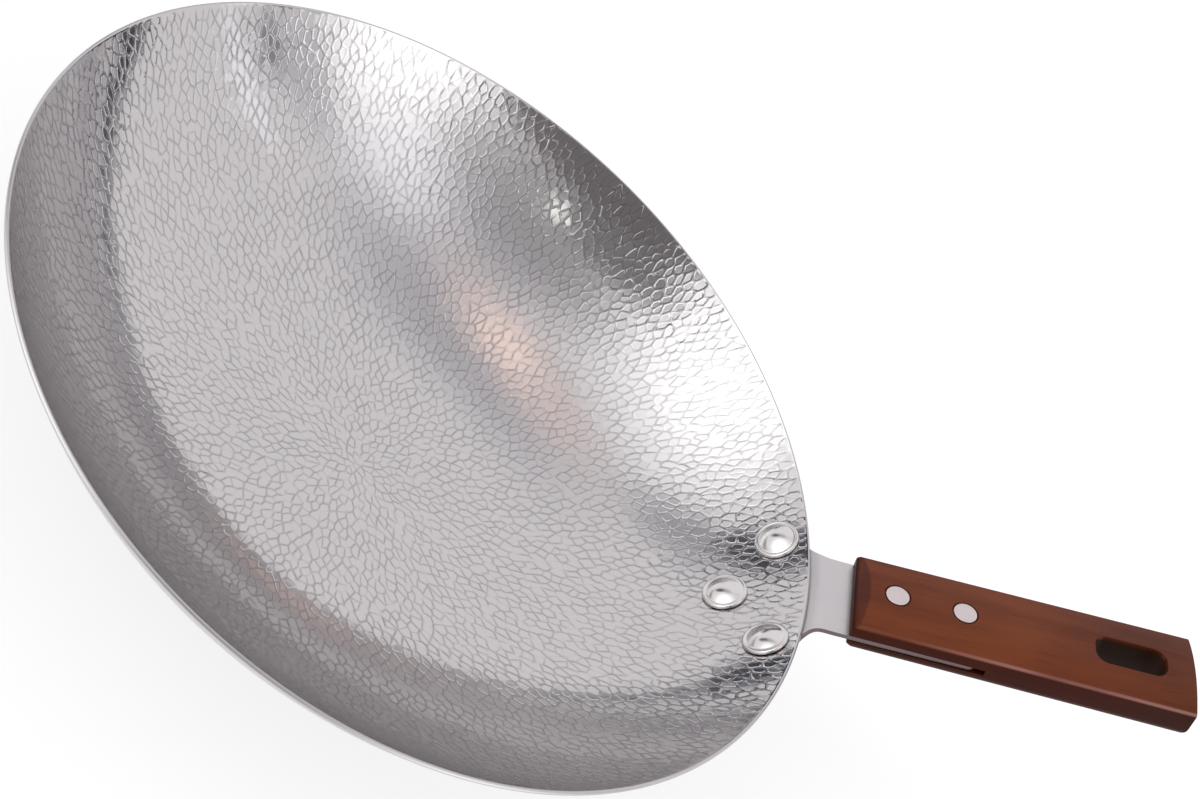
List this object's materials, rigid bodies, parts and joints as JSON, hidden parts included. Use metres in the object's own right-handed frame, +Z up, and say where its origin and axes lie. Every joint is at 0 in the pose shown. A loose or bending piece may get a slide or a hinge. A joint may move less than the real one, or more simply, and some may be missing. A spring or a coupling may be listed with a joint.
{
  "type": "wok with wooden handle",
  "caption": "Round steel wok with a small flat base, a wall curved up in one arc, and a riveted bracket that carries a slotted wooden handle.",
  "frame": {"origin": "centre of the flat underside of the bowl", "axes": "+Z up out of the bowl, +X from the bowl's axis towards the handle"},
  "size_m": [0.4553, 0.3224, 0.1424],
  "materials": {
    "bowl_steel": "bright, embossed inside, satin outside",
    "bracket_steel": "fine satin",
    "bowl_rivet_steel": "polished",
    "varnished_wood": "red-brown, gloss varnish",
    "handle_rivet_steel": "satin"
  },
  "bodies": {
    "root": {"wok_bowl": "bowl_steel", "handle_bracket": "bracket_steel", "bowl_rivet_far": "bowl_rivet_steel", "bowl_rivet_near": "bowl_rivet_steel", "bowl_rivet_low": "bowl_rivet_steel", "wooden_handle": "varnished_wood", "handle_rivet_front": "handle_rivet_steel", "handle_rivet_rear": "handle_rivet_steel"}
  },
  "joints": []
}
